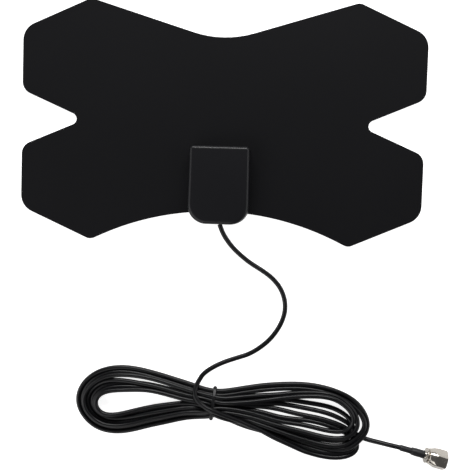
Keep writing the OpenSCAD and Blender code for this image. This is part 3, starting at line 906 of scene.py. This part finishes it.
class ANTENNA_OT_cord(bpy.types.Operator):
    """Lay the coaxial cord, wind its hank and put the tie round the hank's waist"""

    bl_idname = "antenna.cord"
    bl_label = "Cord and tie"

    def execute(self, context):
        own = settings("cord")
        line, crossing_start, crossing_end = cord_line()
        cord = self.add_cord(line, own.diameter)
        crossing = slice(crossing_start, crossing_end)
        under = np.delete(line, np.r_[crossing], axis=0)
        tie = self.add_tie(under, crossing_start, own)
        finish_piece(tie, "tie_round_hank", "black_tie", "antenna", "hank_tie")
        finish_nodes("black_jacket", "cord_inner_end")
        return {"FINISHED"}

    def add_cord(self, line, diameter):
        """A round tube along the centreline."""
        curve = bpy.data.curves.new("coaxial_cord", "CURVE")
        curve.dimensions = "3D"
        curve.bevel_depth = diameter / 2
        curve.bevel_resolution = 5
        curve.resolution_u = 2
        curve.use_fill_caps = True
        spline = curve.splines.new("NURBS")
        spline.points.add(len(line) - 1)
        spline.points.foreach_set("co", np.c_[line, np.ones(len(line))].ravel())
        spline.order_u = 4
        spline.use_endpoint_u = True
        spline.use_smooth = True
        cord = bpy.data.objects.new("coaxial_cord", curve)
        bpy.context.scene.collection.objects.link(cord)
        return finish_piece(cord, "coaxial_cord", "black_jacket", "antenna",
                            "cord_lead", "cord_hank", "cord_tail")

    def add_tie(self, line, start, own):
        """A band drawn tight round the strands that cross the tie's plane."""
        normal = np.array([math.cos(TIE_TURN), math.sin(TIE_TURN), 0])
        along = np.array([-math.sin(TIE_TURN), math.cos(TIE_TURN), 0])
        middle = np.array([0, WAIST_Y, 0])
        strand = line[start:]
        side = (strand - middle) @ normal
        cut = np.where(side[:-1] * side[1:] < 0)[0]
        share = side[cut] / (side[cut] - side[cut + 1])
        through = strand[cut] + share[:, None] * (strand[cut + 1] - strand[cut])
        flat = np.stack([(through - middle) @ along, through[:, 2]], axis=1)
        flat = flat[np.linalg.norm(flat - flat.mean(0), axis=1) < 20 * MM]
        offset = (own.diameter + own.tie_thickness) / 2
        loop = []
        for angle in np.linspace(0, 2 * math.pi, 96, endpoint=False):
            out = np.array([math.cos(angle), math.sin(angle)])
            point = flat[(flat @ out).argmax()] + offset * out
            loop.append((point[0], max(point[1], own.tie_thickness / 2)))
        curve = bpy.data.curves.new("tie", "CURVE")
        curve.dimensions = "3D"
        curve.twist_mode = "Z_UP"
        curve.bevel_depth = own.tie_thickness / 2
        curve.bevel_resolution = 4
        curve.extrude = (own.tie_width - own.tie_thickness) / 2
        spline = curve.splines.new("POLY")
        spline.points.add(len(loop) - 1)
        for point, (a, z) in zip(spline.points, loop):
            point.co = (a, z, 0, 1)
        spline.use_cyclic_u = True
        tie = bpy.data.objects.new("tie", curve)
        bpy.context.scene.collection.objects.link(tie)
        only(tie)
        bpy.ops.object.convert(target="MESH")
        tie = bpy.context.object
        frame_of_tie = Matrix((
            (along[0], 0, normal[0], middle[0]), (along[1], 0, normal[1], middle[1]),
            (0, 1, 0, 0), (0, 0, 0, 1)))
        place(tie, frame_of_tie)
        bpy.ops.object.mode_set(mode="EDIT")
        tidy_shell()
        bpy.ops.object.mode_set(mode="OBJECT")
        for a, z in (min(loop), max(loop)):
            self.add_knob(tie, frame_of_tie @ Vector((a, z, 0)), own.tie_width * 0.62)
        smooth(tie)
        return tie

    def add_knob(self, tie, spot, radius):
        """A small rounded swelling of the tie at one of its two ends."""
        bpy.ops.object.select_all(action="DESELECT")
        bpy.ops.mesh.primitive_uv_sphere_add(
            segments=24, ring_count=12, radius=radius, location=spot)
        ball = bpy.context.object
        bpy.ops.object.transform_apply(location=True, rotation=True, scale=True)
        carve(tie, ball, "UNION")


class ANTENNA_OT_panel(bpy.types.Operator):
    """Finish the two films of the panel and the foil elements between them"""

    bl_idname = "antenna.panel"
    bl_label = "Panel"

    def execute(self, context):
        finish_nodes("black_film", "back_film", "front_film")
        finish_nodes("foil", "left_element", "right_element")
        finish_nodes("tape", "base_tape")
        return {"FINISHED"}


class ANTENNA_OT_housing(bpy.types.Operator):
    """Model the moulded cover and finish what it holds"""

    bl_idname = "antenna.housing"
    bl_label = "Housing"

    def execute(self, context):
        cover = self.add_cover()
        finish_piece(cover, "moulded_cover", "black_housing", "antenna", "housing_cover")
        finish_nodes("black_housing", "housing_base", "cord_clamp")
        finish_nodes("board", "circuit_board")
        finish_nodes("brass", "left_contact", "right_contact", "conductor_end")
        finish_nodes("ferrite", "balun_core")
        finish_nodes("copper", "balun_winding")
        finish_nodes("braid", "shield_end")
        finish_nodes("white_insulator", "dielectric_end")
        return {"FINISHED"}

    def add_cover(self):
        """A box tapered, drafted, rounded, hollowed, and given its posts and the cord's hole."""
        own = settings("housing")
        low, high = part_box("housing_cover")
        size, middle = high - low, (low + high) / 2
        bpy.ops.object.select_all(action="DESELECT")
        bpy.ops.mesh.primitive_cube_add(size=1, location=middle)
        cover = bpy.context.object
        cover.scale = size
        bpy.ops.object.transform_apply(location=True, rotation=True, scale=True)
        bpy.ops.object.mode_set(mode="EDIT")
        pick(cover, "VERT", lambda v: v.co.y > middle.y)
        bpy.ops.transform.resize(value=(own.top_width / size.x, 1, 1))
        pick(cover, "VERT", lambda v: v.co.z > middle.z)
        lean = 2 * own.draft
        bpy.ops.transform.resize(value=(1 - lean / size.x, 1 - lean / size.y, 1))
        self.round_corners(cover, lambda y: y < middle.y, own.lower_radius, 18)
        self.round_corners(cover, lambda y: y > middle.y, own.upper_radius, 8)
        pick(cover, "FACE", lambda f: f.normal.z < -0.9)
        bpy.ops.mesh.delete(type="FACE")
        pick(cover, "EDGE", lambda e: min(v.co.z for v in e.verts) > high.z - 0.01 * MM)
        bpy.ops.mesh.bevel(offset=own.rim_radius, segments=8, affect="EDGES")
        tidy_shell()
        bpy.ops.object.mode_set(mode="OBJECT")
        apply_modifier(cover, "SOLIDIFY", thickness=own.wall, offset=-1,
                       use_even_offset=True)
        self.add_posts(cover, high.z - own.wall)
        exit_end = JACKET_EXIT + Vector((0, 4 * MM, 0))
        exit_start = JACKET_EXIT - Vector((0, 1 * MM, 0))
        carve(cover, rod(settings("cord").diameter / 2 + 0.1 * MM, exit_start, exit_end),
              "DIFFERENCE")
        smooth(cover)
        return cover

    def round_corners(self, cover, side, radius, segments):
        """Rounds the upright corners on one side."""
        pick(cover, "EDGE", lambda e: abs(e.verts[0].co.z - e.verts[1].co.z) > 5 * MM
             and side(e.verts[0].co.y))
        bpy.ops.mesh.bevel(offset=radius, segments=segments, affect="EDGES")

    def add_posts(self, cover, ceiling):
        """Four hollow posts that take the base's pins."""
        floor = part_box("housing_base")[0].z + 1.7 * MM
        for x in (-13.6, 13.6):
            for y in (-20.5, -48):
                foot = Vector((x * MM, y * MM, floor))
                top = Vector((x * MM, y * MM, ceiling + 0.3 * MM))
                carve(cover, rod(2 * MM, foot, top), "UNION")
                bore_top = Vector((x * MM, y * MM, 7 * MM))
                carve(cover, rod(1 * MM, foot - Vector((0, 0, MM)), bore_top), "DIFFERENCE")


class ANTENNA_OT_sleeves(bpy.types.Operator):
    """Model the two shrunk sleeves behind the connector"""

    bl_idname = "antenna.sleeves"
    bl_label = "Sleeves"

    def execute(self, context):
        thin = turned([(-16.5, 1.5), (-16.5, 1.7), (-16.2, 1.84), (-15, 1.88), (-12, 1.86),
                       (-9.6, 1.9), (-9.3, 1.8), (-9.3, 1.5), (-16.5, 1.5)], 0.08)
        thick = turned([(-9.3, 1.5), (-9.3, 2.05), (-9.05, 2.28), (-8.4, 2.36), (-7.2, 2.4),
                        (-6.6, 2.5), (-4, 2.46), (-1.3, 2.5), (-0.95, 2.44), (-0.8, 2.38),
                        (-0.8, 2.2), (-7, 2.2), (-7, 1.5), (-9.3, 1.5)], 0.05)
        for piece, name, node in ((thin, "thin_sleeve", "inner_sleeve"),
                                  (thick, "thick_sleeve", "outer_sleeve")):
            place(piece, CONNECTOR_PLACE)
            smooth(piece, 40)
            finish_piece(piece, name, "shrink_sleeve", "antenna", node)
        return {"FINISHED"}


class ANTENNA_OT_connector(bpy.types.Operator):
    """Model the turned body, its bead and its pin"""

    bl_idname = "antenna.connector"
    bl_label = "Connector body"

    def execute(self, context):
        body = turned([(-6.5, 0.85), (-6.5, 1.15), (-0.8, 1.15), (-0.8, 2.7), (0, 2.7),
                       (0, 4.6), (0.15, 4.75), (0.7, 4.75), (0.9, 4.5), (0.9, 3.5),
                       (3.05, 3.5), (3.05, 4.2), (4.3, 4.2),
                       (4.3, 2.2), (1.4, 2.2), (1.4, 0.85), (-6.5, 0.85)], 0.1)
        bead = turned([(-6.5, 0.24), (-6.5, 0.85), (1.4, 0.85), (1.4, 2.2), (4.3, 2.2),
                       (4.3, 0.7), (4.1, 0.24), (-6.5, 0.24)], 0.05)
        pin = turned([(-6.5, 0), (-6.5, 0.24), (4.3, 0.24), (4.3, 0.4), (11.8, 0.4),
                      (12.05, 0.32), (12.17, 0.18), (12.2, 0)], 0.02, 32)
        for piece, name, slot, node in (
                (body, "turned_body", "nickel", "connector_body"),
                (bead, "bead", "white_insulator", "insulator"),
                (pin, "pin", "brass", "centre_pin")):
            place(piece, CONNECTOR_PLACE)
            smooth(piece, 40)
            finish_piece(piece, name, slot, "antenna", node)
        finish_nodes("nickel", "crimp_ferrule")
        finish_nodes("braid", "shield_crimp")
        return {"FINISHED"}


class ANTENNA_OT_nut(bpy.types.Operator):
    """Model the hexagonal coupling nut and the thread in it"""

    bl_idname = "antenna.nut"
    bl_label = "Coupling nut"

    def execute(self, context):
        own = settings("connector")
        corner = own.across_flats / math.sqrt(3)
        wide = corner / MM + 0.2
        nut = turned([(1.5, 3.55), (1.5, 4), (1.7, 4.4), (2.1, 4.8), (2.6, 4.8), (7.4, wide),
                      (12, wide), (12.7, wide - 0.7), (12.7, 4.95), (12.3, 4.74), (3, 4.74),
                      (3, 3.55), (1.5, 3.55)], 0, 96)
        prism = rod(corner, (0, 0, 0), (0, 0, 14 * MM), 6)
        carve(nut, prism, "INTERSECT")
        soften(nut, 0.05 * MM)
        thread = self.add_thread(own.thread_pitch)
        for piece, name, replaced in ((nut, "nut", ["coupling_nut"]), (thread, "nut_thread", [])):
            place(piece, CONNECTOR_PLACE)
            smooth(piece, 30)
            finish_piece(piece, name, "nickel", "coupling_nut", *replaced)
        return {"FINISHED"}

    def add_thread(self, pitch):
        """A ridge that winds along the nut's bore."""
        low, root, crest = 5 * MM, 4.8 * MM, 4.46 * MM
        turns = 9
        ridge = draw_outline([(root, 0, low), (crest, 0, low + pitch * 0.4),
                              (crest, 0, low + pitch * 0.5), (root, 0, low + pitch * 0.9),
                              (root, 0, low)])
        bpy.ops.mesh.select_all(action="SELECT")
        bpy.ops.mesh.remove_doubles(threshold=0.001 * MM)
        bpy.ops.object.mode_set(mode="OBJECT")
        apply_modifier(ridge, "SCREW", axis="Z", steps=48, render_steps=48, iterations=turns,
                       screw_offset=pitch, angle=2 * math.pi, use_merge_vertices=False)
        bpy.ops.object.mode_set(mode="EDIT")
        pick(ridge, "EDGE", lambda e: e.is_boundary)
        bpy.ops.mesh.edge_face_add()
        tidy_shell()
        bpy.ops.object.mode_set(mode="OBJECT")
        return ridge


class ANTENNA_PT_sidebar(bpy.types.Panel):
    """Sidebar with the antenna's settings and steps"""

    bl_idname = "ANTENNA_PT_sidebar"
    bl_label = "Indoor antenna"
    bl_space_type = "VIEW_3D"
    bl_region_type = "UI"
    bl_category = "Antenna"

    def draw(self, context):
        for group in SETTINGS:
            box = self.layout.box()
            own = settings(group)
            box.label(text=group.title())
            for name in own.__annotations__:
                box.prop(own, name)
        for step in STEPS:
            self.layout.operator(step.bl_idname)


SETTINGS = {
    "panel": PanelSettings, "housing": HousingSettings, "cord": CordSettings,
    "connector": ConnectorSettings, "stage": StageSettings,
}
STEPS = [
    ANTENNA_OT_stage, ANTENNA_OT_panel, ANTENNA_OT_housing, ANTENNA_OT_sleeves,
    ANTENNA_OT_connector, ANTENNA_OT_nut, ANTENNA_OT_cord,
]


def register():
    for kind in [*SETTINGS.values(), *STEPS, ANTENNA_PT_sidebar]:
        bpy.utils.register_class(kind)
    for group, kind in SETTINGS.items():
        setattr(bpy.types.Scene, "antenna_" + group, PointerProperty(type=kind))


def unregister():
    for group in SETTINGS:
        delattr(bpy.types.Scene, "antenna_" + group)
    for kind in reversed([*SETTINGS.values(), *STEPS, ANTENNA_PT_sidebar]):
        bpy.utils.unregister_class(kind)


def main():
    register()
    bpy.ops.antenna.stage()
    bpy.ops.antenna.panel()
    bpy.ops.antenna.housing()
    bpy.ops.antenna.sleeves()
    bpy.ops.antenna.connector()
    bpy.ops.antenna.nut()
    bpy.ops.antenna.cord()


if __name__ == "__main__":
    main()
